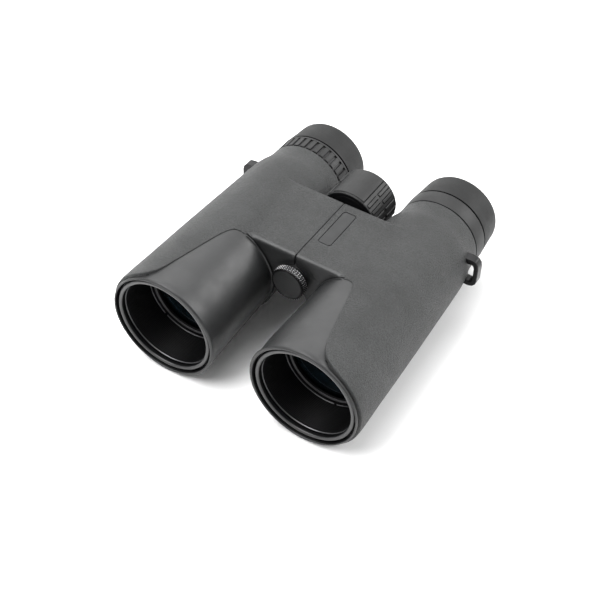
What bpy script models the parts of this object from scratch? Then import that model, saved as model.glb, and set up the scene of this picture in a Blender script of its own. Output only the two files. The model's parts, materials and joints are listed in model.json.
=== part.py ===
"""Roof-prism binoculars with a closed bridge: two barrels on a central hinge.

Lengths in this file are millimetres, turned into metres when a mesh is made.
Design axes: y runs from the front rims (0) to the eyecups, z = 0 is the plane
of the two optical axes and x = 0 is the plane of the hinge.
"""
import math

import bmesh
import bpy

MM = 0.001
LENGTH = 143.2
AXIS_X = 37.0
AXIS_Z = 27.8
HINGE_Z = 10.2
PLATE_Z = 23.2
BRIDGE = (49.6, 93.2)
SKIN_WALL = 1.3
GAP = 0.3
RUNNING = 0.08
SHAFT_R = 5.7
TUBE_R = 9.0
KNUCKLE_R = 7.8
WHEEL_R = 15.2
WHEEL_RIBS = 24
DIOPTRE_RIBS = 36
FOLD_HALF = 27.0
REAR = 118.9
SIDES = {"left": 1, "right": -1}

# Outer radius of the rubber armour along a barrel, then the line where its
# grained part gives way to the smooth finger hollow (angle from the outside).
SKIN_R = ((0, 27.8), (4, 28.0), (20, 27.4), (40, 26.7), (60, 25.85), (80, 24.9), (95, 24.2),
          (105, 23.4), (109, 22.5), (113, 21.6), (117, 21.25), (120, 21.2))
SEAM_Y = ((0, 1.7), (60, 1.8), (72, 3.0), (80, 6.5), (84, 14), (90, 26), (98, 41), (106, 48),
          (122, 49), (180, 49))

RUBBER = (0.035, 0.036, 0.038)
PLASTIC = (0.028, 0.029, 0.031)
BLACK = (0.012, 0.012, 0.013)
GLASS = (0.55, 0.62, 0.72)
STEEL = (0.55, 0.55, 0.56)
BRASS = (0.62, 0.46, 0.20)


def clear_scene():
    for obj in list(bpy.data.objects):
        bpy.data.objects.remove(obj, do_unlink=True)


def table(points, at):
    """Value read off a short list of (position, value) pairs."""
    if at <= points[0][0]:
        return points[0][1]
    for (a, va), (b, vb) in zip(points, points[1:]):
        if at <= b:
            return va + (vb - va) * (at - a) / (b - a)
    return points[-1][1]


def skin_radius(y):
    return table(SKIN_R, y)


def seam(angle):
    """Where the grained armour starts, for an angle in degrees from the outside."""
    return table(SEAM_Y, abs((angle + 180) % 360 - 180))


def material(name, colour, roughness, metallic=0.0):
    mat = bpy.data.materials.get(name)
    if mat is None:
        mat = bpy.data.materials.new(name)
        mat.use_nodes = True
        shader = mat.node_tree.nodes["Principled BSDF"]
        shader.inputs["Base Color"].default_value = (*colour, 1.0)
        shader.inputs["Roughness"].default_value = roughness
        shader.inputs["Metallic"].default_value = metallic
    return mat


def to_object(name, bm, mat, origin=(0.0, 0.0, 0.0)):
    """Object from a mesh in design millimetres, its origin at a design point."""
    bmesh.ops.triangulate(bm, faces=bm.faces[:])
    bmesh.ops.recalc_face_normals(bm, faces=bm.faces[:])
    ox, oy, oz = origin
    for vert in bm.verts:
        vert.co.x = (vert.co.x - ox) * MM
        vert.co.y = (vert.co.y - oy) * MM
        vert.co.z = (vert.co.z - oz) * MM
    mesh = bpy.data.meshes.new(name)
    bm.to_mesh(mesh)
    bm.free()
    mesh.shade_smooth()
    mesh.set_sharp_from_angle(angle=math.radians(32))
    obj = bpy.data.objects.new(name, mesh)
    obj.location = (ox * MM, (oy - LENGTH / 2) * MM, (oz + AXIS_Z) * MM)
    bpy.context.collection.objects.link(obj)
    if mat is not None:
        obj.data.materials.append(mat)
    return obj


def bridge_loops(bm, first, second):
    """Faces between two loops of vertices; a loop of one vertex is a pole."""
    count = max(len(first), len(second))
    if count == 1:
        return
    for i in range(count):
        j = (i + 1) % count
        if len(first) == 1:
            bm.faces.new((first[0], second[j], second[i]))
        elif len(second) == 1:
            bm.faces.new((first[i], first[j], second[0]))
        else:
            bm.faces.new((first[i], first[j], second[j], second[i]))


def loft(name, loops, mat, origin=(0.0, 0.0, 0.0)):
    """Closed body through loops of points, the last loop joining the first."""
    bm = bmesh.new()
    rows = [[bm.verts.new(point) for point in loop] for loop in loops]
    for i, row in enumerate(rows):
        bridge_loops(bm, row, rows[(i + 1) % len(rows)])
    return to_object(name, bm, mat, origin)


def circle(x, y, z, radius, steps):
    if radius == 0:
        return [(x, y, z)]
    turns = [2 * math.pi * (i + 0.5) / steps for i in range(steps)]
    return [(x + radius * math.cos(t), y, z + radius * math.sin(t)) for t in turns]


def turned(name, profile, mat, x=0.0, z=0.0, steps=24, origin=None):
    """Body turned about the line (x, z) along Y; the profile lists (radius, y)."""
    loops = [circle(x, y, z, radius, steps) for radius, y in profile]
    return loft(name, loops, mat, origin or (x, 0.0, z))


def tube(name, inner, outer, y0, y1, mat, x=0.0, z=0.0, steps=24, origin=None):
    return turned(name, ((inner, y0), (outer, y0), (outer, y1), (inner, y1)), mat, x, z, steps, origin)


def rod(name, radius, y0, y1, mat, x=0.0, z=0.0, steps=24):
    return turned(name, ((0, y0), (radius, y0), (radius, y1), (0, y1)), mat, x, z, steps)


def prism(name, outline, low, high, mat=None, along="y", origin=(0.0, 0.0, 0.0)):
    """Extruded outline: (x, z) points along Y, (y, z) along X or (x, y) along Z."""
    order = {"y": (0, 2, 1), "x": (1, 2, 0), "z": (0, 1, 2)}[along]
    bm = bmesh.new()
    rows = []
    for level in (low, high):
        row = []
        for a, b in outline:
            point = [0.0, 0.0, 0.0]
            point[order[0]], point[order[1]], point[order[2]] = a, b, level
            row.append(bm.verts.new(point))
        rows.append(row)
    bm.faces.new(rows[0])
    bm.faces.new(rows[1])
    bridge_loops(bm, rows[0], rows[1])
    return to_object(name, bm, mat, origin)


def box(name, x, y, z, mat=None):
    outline = ((x[0], z[0]), (x[1], z[0]), (x[1], z[1]), (x[0], z[1]))
    return prism(name, outline, y[0], y[1], mat)


def rounded(x, y, radius, steps=3):
    """Rectangle outline with round corners."""
    points = []
    corners = ((x[1], y[1], 0), (x[0], y[1], 90), (x[0], y[0], 180), (x[1], y[0], 270))
    for cx, cy, start in corners:
        px = cx - math.copysign(radius, cx - sum(x) / 2)
        py = cy - math.copysign(radius, cy - sum(y) / 2)
        for i in range(steps + 1):
            turn = math.radians(start + 90 * i / steps)
            points.append((px + radius * math.cos(turn), py + radius * math.sin(turn)))
    return points


def toothed(name, inner, low, high, y0, y1, teeth, start, share):
    """Ring with raised ribs that each fill a share of the pitch, from a start angle."""
    step = 2 * math.pi / teeth
    angles = []
    for i in range(teeth):
        base = math.radians(start) + i * step
        angles += [(base, low), (base + 0.05 * step, high), (base + (share - 0.05) * step, high),
                   (base + share * step, low)]
    outer = [[(r * math.cos(a), y, HINGE_Z + r * math.sin(a)) for a, r in angles] for y in (y0, y1)]
    bore = [[(inner * math.cos(a), y, HINGE_Z + inner * math.sin(a)) for a, r in angles] for y in (y1, y0)]
    return loft(name, outer + bore, None, (0.0, 0.0, HINGE_Z))


def combine(target, tool, operation):
    """Boolean applied at once, the tool removed afterwards."""
    mod = target.modifiers.new(operation.lower(), "BOOLEAN")
    mod.operation = operation
    mod.solver = "EXACT"
    mod.object = tool
    depsgraph = bpy.context.evaluated_depsgraph_get()
    mesh = bpy.data.meshes.new_from_object(target.evaluated_get(depsgraph))
    target.modifiers.clear()
    target.data = mesh
    bm = bmesh.new()
    bm.from_mesh(mesh)
    bmesh.ops.remove_doubles(bm, verts=bm.verts[:], dist=0.002 * MM)
    bmesh.ops.dissolve_degenerate(bm, edges=bm.edges[:], dist=0.002 * MM)
    bmesh.ops.triangulate(bm, faces=bm.faces[:])
    bm.to_mesh(mesh)
    bm.free()
    mesh.shade_smooth()
    mesh.set_sharp_from_angle(angle=math.radians(32))
    bpy.data.objects.remove(tool, do_unlink=True)


def cut(target, tool):
    combine(target, tool, "DIFFERENCE")


def join(target, tool):
    combine(target, tool, "UNION")


def wedge(side):
    """Cross-section of one half of the bridge, clear of the other half when folded."""
    low = -2.0
    turn = math.radians(FOLD_HALF)
    edge = 0.35 / math.cos(turn) + math.tan(turn) * (HINGE_Z - low)
    points = ((0.35, 21.6), (25.5, 21.6), (25.5, low), (edge, low), (0.39, HINGE_Z))
    return [(side * x, z) for x, z in points]


def knuckles(side):
    """Stretches of the hinge line owned by this half, and those it leaves free."""
    if side > 0:
        return ((57.3, 62.0), (84.2, 87.6)), ((50.0, 57.15), (87.75, 95.0))
    return ((51.2, 57.0), (87.9, 91.6)), ((57.15, 62.2), (84.0, 87.75))


def barrel(where, side):
    """Stiff inner body: a stepped tube with half of the bridge and its knuckles."""
    mat = material("body_plastic", PLASTIC, 0.45)
    outer = [(skin_radius(y) - 1.6, y) for y in (1.6, 20, 40, 60, 80, 93.6)]
    outer += [(21.4, 94.2), (21.0, 104), (19.8, 112), (19.4, REAR)]
    bore = [(17.9, REAR), (17.9, 103.5), (19.4, 103.5), (19.4, 84.2), (21.2, 84.2), (21.2, 34.0),
            (24.5, 34.0), (24.5, 2.7), (25.5, 2.7), (25.5, 1.6)]
    body = turned("barrel_" + where, outer + bore, mat, side * AXIS_X, 0.0, 36)
    half = prism("half", wedge(side), BRIDGE[0] + 1.6, BRIDGE[1] - 1.6)
    cut(half, rod("core", 22.1, 45.0, 97.0, None, side * AXIS_X, 0.0, 36))
    owned, free = knuckles(side)
    for y0, y1 in free:
        cut(half, rod("room", KNUCKLE_R + GAP, y0, y1, None, 0.0, HINGE_Z))
    cut(half, rod("tube_room", TUBE_R + GAP, 62.15, 84.05, None, 0.0, HINGE_Z))
    join(body, half)
    for y0, y1 in owned:
        join(body, rod("knuckle", KNUCKLE_R, y0, y1, None, 0.0, HINGE_Z))
    cut(body, rod("bore", SHAFT_R + RUNNING, 49.0, 95.0, None, 0.0, HINGE_Z))
    reach = (side * 3.0, side * 22.0)
    cut(body, box("pocket", (min(reach), max(reach)), (62.4, 83.9), (4.5, 16.5)))
    return body


def skin_loops(side):
    """Outside of the armour from the front lip to the rear, then back inside."""
    steps = 40
    angles = [360.0 * i / steps for i in range(steps)]

    def around(radius_and_y):
        loop = []
        for angle in angles:
            radius, y = radius_and_y(angle)
            turn = math.radians(angle)
            loop.append((side * (AXIS_X + radius * math.cos(turn)), y, radius * math.sin(turn)))
        return loop

    def fixed(radius, y):
        return around(lambda angle: (radius, y))

    def smooth_zone(part):
        def point(angle):
            y = 1.1 + (seam(angle) - 1.1) * part
            return skin_radius(y) - 0.8, y
        return around(point)

    def grained_zone(part):
        def point(angle):
            y = seam(angle) + 0.5 + (92.0 - seam(angle)) * part
            return skin_radius(y), y
        return around(point)

    loops = [fixed(25.5, 0.0), fixed(27.2, 0.0), fixed(27.8, 0.6)]
    loops += [smooth_zone(part) for part in (0.0, 0.5, 1.0)]
    loops += [grained_zone(part) for part in (0.0, 0.3, 0.65, 1.0)]
    loops += [fixed(skin_radius(y), y) for y in (105.0, 109.0, 113.0)]
    loops += [fixed(21.2, REAR), fixed(19.75, REAR), fixed(20.15, 112.0), fixed(21.35, 104.0)]
    loops += [fixed(21.75, 94.3)]
    loops += [fixed(skin_radius(y) - SKIN_WALL, y) for y in (93.9, 60.0, 20.0, 1.3)]
    loops += [fixed(25.5, 1.3)]
    return loops


def cover_outline():
    """Side view of the bridge cover, its front and rear top edges rounded."""
    front, rear = BRIDGE
    points = [(front, -2.2)]
    for i in range(4):
        turn = math.radians(180 - 30 * i)
        points.append((front + 2 + 2 * math.cos(turn), PLATE_Z - 2 + 2 * math.sin(turn)))
    for i in range(4):
        turn = math.radians(90 - 30 * i)
        points.append((rear - 2 + 2 * math.cos(turn), PLATE_Z - 2 + 2 * math.sin(turn)))
    points.append((rear, -2.2))
    return points


def fold_room(side):
    """Space below the hinge line that one half of the cover leaves to the other."""
    low, turn = -5.0, math.radians(FOLD_HALF)
    edge = 0.15 + math.tan(turn) * (HINGE_Z - low)
    points = ((-1.0, HINGE_Z), (0.15, HINGE_Z), (edge, low), (-1.0, low))
    return prism("fold_room", [(side * x, z) for x, z in points], 45.0, 97.0)


def armour(where, side):
    """Rubber skin over one barrel and its half of the bridge."""
    mat = material("armour_rubber", RUBBER, 0.75)
    skin = loft("armour_" + where, skin_loops(side), mat, (side * AXIS_X, 0.0, 0.0))
    ends = sorted((side * 0.15, side * 31.0))
    cover = prism("cover", cover_outline(), ends[0], ends[1], None, "x")
    core = [(0, 40.0), (skin_radius(40) - 0.65, 40.0), (skin_radius(60) - 0.65, 60.0),
            (skin_radius(80) - 0.65, 80.0), (skin_radius(97) - 0.65, 97.0), (0, 97.0)]
    cut(cover, turned("core", core, None, side * AXIS_X, 0.0, 40))
    cut(cover, fold_room(side))
    cut(cover, rod("shaft_room", 6.9, 45.0, 97.0, None, 0.0, HINGE_Z, 28))
    join(skin, cover)
    ends = sorted((side * -5.0, side * 27.0))
    cut(skin, box("window", ends, (BRIDGE[0] + SKIN_WALL, BRIDGE[1] - SKIN_WALL), (-2.3, 21.9)))
    cut(skin, rod("wheel_room", WHEEL_R + 0.5, 95.0, 120.0, None, 0.0, HINGE_Z, 36))
    ends = sorted((side * 50.0, side * 72.0))
    cut(skin, box("lug_window", ends, (104.9, 112.1), (-7.3, 7.3)))
    if side > 0:
        cut(skin, prism("inlay", rounded((2.8, 10.2), (63.6, 88.2), 1.3), 22.6, 24.0, None, "z"))
    return skin


def name_plate():
    mat = material("plate_satin", BLACK, 0.3)
    return prism("name_plate", rounded((3.1, 9.9), (63.9, 87.9), 1.0), 22.85, 23.3, mat, "z")


def lug(where, side):
    """Loop for a neck strap, let into the side of the barrel."""
    mat = material("lug_gloss", BLACK, 0.2)
    outline = [(58.4, -6.6), (61.4, -6.9), (63.6, -6.0), (64.8, -4.2), (64.8, 4.2), (63.6, 6.0),
               (61.4, 6.9), (58.4, 6.6)]
    body = prism("strap_lug_" + where, [(side * x, z) for x, z in outline], 105.3, 111.7, mat)
    slot = [(61.0, -4.1), (62.2, -4.6), (63.1, -3.6), (63.1, 3.6), (62.2, 4.6), (61.0, 4.1)]
    cut(body, prism("slot", [(side * x, z) for x, z in slot], 104.0, 113.0))
    return body


def objective(where, side):
    """Everything seen down the front of a barrel, up to the doublet lens."""
    x = side * AXIS_X
    dark = material("inner_black", BLACK, 0.5)
    rim = material("bezel_black", BLACK, 0.25)
    bezel = ((22.8, 0.4), (23.3, 0.0), (24.9, 0.0), (25.2, 2.35), (22.9, 2.35))
    turned("objective_bezel_" + where, bezel, rim, x, 0.0, 32)
    tube("objective_sleeve_" + where, 22.8, 24.2, 2.65, 21.1, dark, x, 0.0, 28)
    ring = tube("retaining_ring_" + where, 20.05, 22.4, 20.0, 21.1, rim, x, 0.0, 28)
    cut(ring, box("notch", (x - 1.2, x + 1.2), (19.0, 20.6), (18.0, 24.0)))
    cell = ((20.05, 21.4), (24.2, 21.4), (24.2, 33.7), (21.2, 33.7), (21.2, 22.1), (20.05, 22.1))
    turned("objective_cell_" + where, cell, dark, x, 0.0, 28)
    clear = material("lens_glass", GLASS, 0.03)
    crown = ((0, 21.2), (10, 21.7), (20.8, 23.0), (20.8, 25.5), (10, 27.4), (0, 28.0))
    turned("objective_crown_" + where, crown, clear, x)
    flint = ((0, 28.3), (10, 27.7), (20.8, 25.8), (20.8, 31.0), (0, 31.4))
    turned("objective_flint_" + where, flint, clear, x)


def focus_cell(where, side):
    """Sliding ring with the focusing lens, and the arm the carriage drives."""
    x = side * AXIS_X
    mat = material("alloy_black", (0.05, 0.05, 0.052), 0.4, 0.6)
    ring = tube("focus_cell_" + where, 17.5, 20.6, 67.0, 79.0, mat, x, 0.0)
    ends = sorted((side * 5.6, side * 20.4))
    join(ring, box("arm", ends, (71.6, 74.4), (HINGE_Z - 2.5, HINGE_Z + 2.5)))
    clear = material("lens_glass", GLASS, 0.03)
    lens = ((0, 72.6), (17.2, 70.6), (17.2, 75.0), (0, 74.4))
    turned("focus_lens_" + where, lens, clear, x)


def prisms(where, side):
    """Two roof-prism blocks in the square opening of their cage."""
    x = side * AXIS_X
    cage = rod("prism_cage_" + where, 19.1, 84.6, 103.2, material("inner_black", BLACK, 0.5), x)
    cut(cage, box("opening", (x - 8.8, x + 8.8), (83.0, 105.0), (-11.9, 11.9)))
    clear = material("lens_glass", GLASS, 0.03)
    first = ((85.2, -11.6), (85.2, 11.6), (87.4, 11.6), (95.6, -8.0), (92.4, -11.6))
    prism("schmidt_prism_" + where, first, x - 8.5, x + 8.5, clear, "x")
    second = ((88.3, 11.6), (96.6, -8.2), (99.6, -11.6), (102.6, -11.6), (102.6, 11.6))
    prism("roof_prism_" + where, second, x - 8.5, x + 8.5, clear, "x")


def eyepiece(where, side):
    """Eyepiece optics and the tube that the eyecup rides on."""
    x = side * AXIS_X
    dark = material("inner_black", BLACK, 0.5)
    guide = material("guide_plastic", BLACK, 0.35)
    tube("ocular_tube_" + where, 15.6, 17.5, 104.0, 138.3, guide, x, 0.0, 28)
    cell = ((12.0, 106.0), (15.2, 106.0), (15.2, 136.8), (12.0, 136.0))
    turned("ocular_cell_" + where, cell, dark, x, 0.0)
    tube("field_stop_" + where, 8.5, 11.7, 119.4, 120.2, dark, x)
    clear = material("lens_glass", GLASS, 0.03)
    field = ((0, 110.0), (11.7, 111.6), (11.7, 114.0), (0, 116.0))
    turned("field_lens_" + where, field, clear, x)
    eye = ((0, 126.0), (11.7, 127.6), (11.7, 132.8), (6, 134.3), (0, 134.8))
    turned("eye_lens_" + where, eye, clear, x)


def rear_ring(where, side):
    """Plain collar on one barrel, ribbed dioptre ring on the other."""
    x = side * AXIS_X
    mat = material("ring_rubber", RUBBER, 0.6)
    profile = ((17.8, 119.3), (20.9, 119.3), (21.2, 119.7), (21.2, 127.6), (17.8, 127.6))
    if side > 0:
        turned("collar_" + where, profile, mat, x, 0.0, 36)
        return
    low = [(17.8, 119.3), (20.5, 119.3), (20.5, 125.9), (21.2, 125.95), (21.2, 127.6), (17.8, 127.6)]
    ring = turned("dioptre_ring", low, mat, x, 0.0, 36)
    pads = toothed("pads", 20.0, 20.3, 21.2, 119.9, 126.2, DIOPTRE_RIBS, 5.6, 0.68)
    pads.location = ring.location
    bpy.context.view_layer.update()
    join(ring, pads)


def eyecup(where, side):
    """Twist-up eyecup: click ring, threaded sleeve and soft rubber cup."""
    x = side * AXIS_X
    nylon = material("click_ring_nylon", (0.45, 0.45, 0.43), 0.5)
    tube("click_ring_" + where, 17.5 + RUNNING, 18.2, 128.3, 130.3, nylon, x, 0.0, 28)
    hard = material("guide_plastic", BLACK, 0.35)
    sleeve = ((18.5, 128.2), (19.3, 128.2), (19.3, 141.2), (17.0, 141.2), (17.0, 138.8), (18.5, 138.8))
    turned("eyecup_sleeve_" + where, sleeve, hard, x, 0.0, 28)
    soft = material("eyecup_rubber", RUBBER, 0.7)
    cup = ((19.6, 128.2), (21.0, 128.2), (20.4, 135.0), (19.9, 140.6), (19.4, 142.5),
           (18.6, LENGTH), (17.0, LENGTH), (16.6, 141.5), (19.6, 141.5))
    turned("eyecup_rubber_" + where, cup, soft, x, 0.0, 36)


def hinge():
    """Shafts on the fold axis, the socket in the front one and its screw cap."""
    steel = material("hinge_steel", STEEL, 0.35, 1.0)
    shaft = ((0, 59.8), (4.9, 59.8), (4.9, 50.3), (SHAFT_R, 50.3), (SHAFT_R, 62.0), (0, 62.0))
    turned("hinge_shaft_front", shaft, steel, 0.0, HINGE_Z)
    tube("hinge_shaft_rear", 2.6, SHAFT_R, 84.2, 96.2, steel, 0.0, HINGE_Z)
    shell = tube("hinge_tube", TUBE_R - 1.0, TUBE_R, 62.4, 83.8, steel, 0.0, HINGE_Z)
    cut(shell, box("left_slot", (0.0, 12.0), (68.0, 78.0), (HINGE_Z - 3.0, HINGE_Z + 3.0)))
    slot = [(0.0, 0.0)] + [(14 * math.cos(a), 14 * math.sin(a)) for a in map(math.radians, (158, 190, 222, 254))]
    cut(shell, prism("right_slot", [(px, HINGE_Z + pz) for px, pz in slot], 68.0, 78.0))
    brass = material("socket_brass", BRASS, 0.3, 1.0)
    tube("tripod_socket", 3.25, 4.6, 50.3, 59.4, brass, 0.0, HINGE_Z)
    tube("cap_washer", 3.3, 6.6, 48.6, 49.9, material("washer_black", BLACK, 0.5), 0.0, HINGE_Z)
    teeth = 22
    knurl = []
    for radii, y in (((7.7, 7.7), 43.5), ((8.2, 8.6), 44.2), ((8.2, 8.6), 47.6), ((7.9, 7.9), 48.3)):
        turns = [(2 * math.pi * i / (2 * teeth), radii[i % 2]) for i in range(2 * teeth)]
        knurl.append([(r * math.cos(t), y, HINGE_Z + r * math.sin(t)) for t, r in turns])
    loops = [[(0, 43.5, HINGE_Z)]] + knurl + [[(0, 48.3, HINGE_Z)]]
    cap = loft("tripod_cap", loops, material("cap_black", BLACK, 0.3), (0.0, 0.0, HINGE_Z))
    join(cap, rod("stud", 3.0, 47.5, 56.3, None, 0.0, HINGE_Z))


def focus_drive():
    """Wheel on the rear shaft, its spindle and the carriage it moves."""
    steel = material("hinge_steel", STEEL, 0.35, 1.0)
    rod("focus_spindle", 2.5, 62.9, 114.0, steel, 0.0, HINGE_Z)
    groove = ((2.6, 70.0), (7.4, 70.0), (7.4, 71.3), (5.0, 71.3), (5.0, 74.7), (7.4, 74.7),
              (7.4, 76.0), (2.6, 76.0))
    turned("focus_carriage", groove, material("socket_brass", BRASS, 0.3, 1.0), 0.0, HINGE_Z)
    hub = ((2.8, 96.6), (12.6, 97.3), (12.6, 114.8), (2.8, 114.8))
    turned("wheel_hub", hub, material("wheel_plastic", BLACK, 0.4), 0.0, HINGE_Z, 28)
    profile = ((12.9, 97.1), (14.3, 97.1), (14.75, 97.6), (14.75, 117.2), (14.0, 117.9), (12.9, 117.9))
    grip = turned("wheel_grip", profile, material("wheel_rubber", RUBBER, 0.6), 0.0, HINGE_Z, 36)
    for y0, y1 in ((98.0, 106.4), (107.9, 116.6)):
        join(grip, toothed("ribs", 13.6, 14.4, WHEEL_R, y0, y1, WHEEL_RIBS, -0.4, 0.46))
    rod("wheel_end_cap", 12.5, 115.1, 117.3, material("wheel_plastic", BLACK, 0.4), 0.0, HINGE_Z, 28)


def main():
    clear_scene()
    for where, side in SIDES.items():
        barrel(where, side)
        armour(where, side)
        lug(where, side)
        objective(where, side)
        focus_cell(where, side)
        prisms(where, side)
        eyepiece(where, side)
        rear_ring(where, side)
        eyecup(where, side)
    name_plate()
    hinge()
    focus_drive()


main()
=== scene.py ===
import json
import math

import bmesh
import bpy
import numpy as np
from mathutils import Matrix, Vector


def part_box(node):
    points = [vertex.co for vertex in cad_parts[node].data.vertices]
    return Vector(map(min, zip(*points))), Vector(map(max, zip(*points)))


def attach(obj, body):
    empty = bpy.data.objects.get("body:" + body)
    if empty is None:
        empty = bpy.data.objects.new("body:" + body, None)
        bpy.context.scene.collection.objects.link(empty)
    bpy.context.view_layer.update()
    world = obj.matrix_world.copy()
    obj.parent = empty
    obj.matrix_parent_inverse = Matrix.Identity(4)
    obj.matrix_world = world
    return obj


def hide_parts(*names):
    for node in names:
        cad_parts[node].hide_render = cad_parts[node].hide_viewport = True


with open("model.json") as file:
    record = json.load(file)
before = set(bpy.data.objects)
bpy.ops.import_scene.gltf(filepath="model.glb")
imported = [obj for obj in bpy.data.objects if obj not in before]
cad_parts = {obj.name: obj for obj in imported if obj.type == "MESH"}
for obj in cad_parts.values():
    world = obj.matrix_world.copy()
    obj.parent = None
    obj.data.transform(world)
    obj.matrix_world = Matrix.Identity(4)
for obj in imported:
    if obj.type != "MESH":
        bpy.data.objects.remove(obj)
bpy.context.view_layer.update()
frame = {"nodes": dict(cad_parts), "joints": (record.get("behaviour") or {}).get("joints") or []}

# ---------------------------------------------------------------- dimensions
# Millimetres, unless a line says otherwise: y from the front rims to the eyecups,
# z from the plane of the optical axes, x from the plane of the hinge.
MM = 0.001
bezel_low, bezel_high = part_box("objective_bezel_left")
AXIS_X = (bezel_low.x + bezel_high.x) / 2 / MM
AXIS_Z = (bezel_low.z + bezel_high.z) / 2 / MM
FRONT_Y = bezel_low.y / MM
hinge = next(joint for joint in frame["joints"] if joint["name"] == "bridge_fold")
HINGE_Z = hinge["pos_m"][2] / MM - AXIS_Z
PLATE_Z = 23.2                       # top of the bridge cover
WALL_FRONT, WALL_REAR = 50.3, 93.2   # front and rear faces of the bridge cover
REAR = 118.75                        # rear end of the armour
WHEEL_R = 15.2                       # focus wheel over its ribs
FOLD_HALF = math.radians(27)         # slope of the faces that meet at full fold
LIP_Y, LIP_CREST = -1.0, 26.3        # foremost y of the front lip, and its radius there
STEP_Y = 0.55                        # length of the step from the hollow to the grain
INNER_WALL = 1.3                     # thickness of the armour
# The third armour slot is near-black painted shade: the groove behind the front lip, the rear end
# and the inner faces.
GRAINED, SATIN, PAINTED_SHADE = 0, 1, 2      # material slots of the armour
SIDES = {"left": 1, "right": -1}
CAMERA_LENS, CAMERA_SENSOR = 78.7122, 36.0
CAMERA_DISTANCE = 0.59935            # metres

# (y, outer radius) of the armour, then (angle from the outside, y) of the seam
# between the smooth hollow and the grain.
SKIN = ((0, 27.8), (4, 28.0), (20, 27.4), (40, 26.7), (60, 25.85), (80, 24.9), (95, 24.2),
        (101, 23.85), (106, 23.2), (110, 22.2), (114, 21.5), (117, 21.25), (120, 21.2))
SEAM = ((0, 0.9), (50, 1.0), (62, 1.4), (70, 2.7), (77, 5.6), (81, 9.5), (84, 15), (88, 23),
        (92, 31), (97, 41), (101, 46), (105, 48), (112, 49), (122, 49.2), (180, 49.2))


def curve_through(points):
    """Smooth monotone curve through (position, value) pairs, as a function."""
    x = np.array([p[0] for p in points], float)
    y = np.array([p[1] for p in points], float)
    step = np.diff(x)
    slope = np.diff(y) / step
    tangent = np.zeros(len(x))
    tangent[0], tangent[-1] = slope[0], slope[-1]
    for i in range(1, len(x) - 1):
        if slope[i - 1] * slope[i] > 0:
            tangent[i] = 2 * slope[i - 1] * slope[i] / (slope[i - 1] + slope[i])

    def value(at):
        at = np.clip(np.asarray(at, float), x[0], x[-1])
        i = np.clip(np.searchsorted(x, at, side="right") - 1, 0, len(x) - 2)
        t = (at - x[i]) / step[i]
        return (y[i] * (1 + 2 * t) * (1 - t) ** 2 + tangent[i] * step[i] * t * (1 - t) ** 2
                + y[i + 1] * t * t * (3 - 2 * t) + tangent[i + 1] * step[i] * t * t * (t - 1))

    return value


skin_radius = curve_through(SKIN)
seam_curve = curve_through(SEAM)


def from_outside(angle):
    """Angle from the outer side of a barrel, 0 to 180, the same above and below."""
    return np.abs((angle + 180) % 360 - 180)


def smoothstep(low, high, value):
    t = np.clip((np.asarray(value, float) - low) / (high - low), 0, 1)
    return t * t * (3 - 2 * t)


def soft_min(a, b, width):
    blend = np.clip(0.5 + 0.5 * (b - a) / width, 0, 1)
    return b * (1 - blend) + a * blend - width * blend * (1 - blend)


def soft_max(a, b, width):
    return -soft_min(-a, -b, width)


# ----------------------------------------------------------------- materials
def node_material(name):
    """New material with its nodes, links and principled shader."""
    mat = bpy.data.materials.new(name)
    mat.use_nodes = True
    nodes, links = mat.node_tree.nodes, mat.node_tree.links
    return mat, nodes, links, nodes["Principled BSDF"]


def noise(nodes, links, scale, detail=3.0, rough=0.55, stretch=(1, 1, 1)):
    """Noise in object space; scale is in features per metre."""
    coord = nodes.new("ShaderNodeTexCoord")
    mapping = nodes.new("ShaderNodeMapping")
    mapping.inputs["Scale"].default_value = stretch
    texture = nodes.new("ShaderNodeTexNoise")
    texture.inputs["Scale"].default_value = scale
    texture.inputs["Detail"].default_value = detail
    texture.inputs["Roughness"].default_value = rough
    links.new(coord.outputs["Object"], mapping.inputs["Vector"])
    links.new(mapping.outputs["Vector"], texture.inputs["Vector"])
    return texture.outputs["Fac"]


def ranged(nodes, links, source, low, high, from_low=0.3, from_high=0.7):
    node = nodes.new("ShaderNodeMapRange")
    node.inputs["From Min"].default_value = from_low
    node.inputs["From Max"].default_value = from_high
    node.inputs["To Min"].default_value = low
    node.inputs["To Max"].default_value = high
    links.new(source, node.inputs["Value"])
    return node.outputs["Result"]


def two_tone(nodes, links, source, dark, light, low=0.35, high=0.65):
    ramp = nodes.new("ShaderNodeValToRGB")
    ramp.color_ramp.elements[0].position = low
    ramp.color_ramp.elements[0].color = (*dark, 1)
    ramp.color_ramp.elements[1].position = high
    ramp.color_ramp.elements[1].color = (*light, 1)
    links.new(source, ramp.inputs["Fac"])
    return ramp.outputs["Color"]


def bump(nodes, links, height, distance, strength=1.0, below=None):
    node = nodes.new("ShaderNodeBump")
    node.inputs["Strength"].default_value = strength
    node.inputs["Distance"].default_value = distance
    links.new(height, node.inputs["Height"])
    if below is not None:
        links.new(below, node.inputs["Normal"])
    return node.outputs["Normal"]


def edge_wear_and_sheen(nodes, links, colour, wear_and_sheen_colour, amount):
    """Lightens the exposed edges a little: partly handling wear, partly a painted highlight along
    the edges.
    """
    geometry = nodes.new("ShaderNodeNewGeometry")
    wear_and_sheen_mask = ranged(nodes, links, geometry.outputs["Pointiness"], 0.0, amount, 0.515, 0.56)
    mix = nodes.new("ShaderNodeMix")
    mix.data_type = "RGBA"
    mix.inputs["B"].default_value = (*wear_and_sheen_colour, 1)
    links.new(wear_and_sheen_mask, mix.inputs["Factor"])
    links.new(colour, mix.inputs["A"])
    return mix.outputs["Result"]


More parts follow.
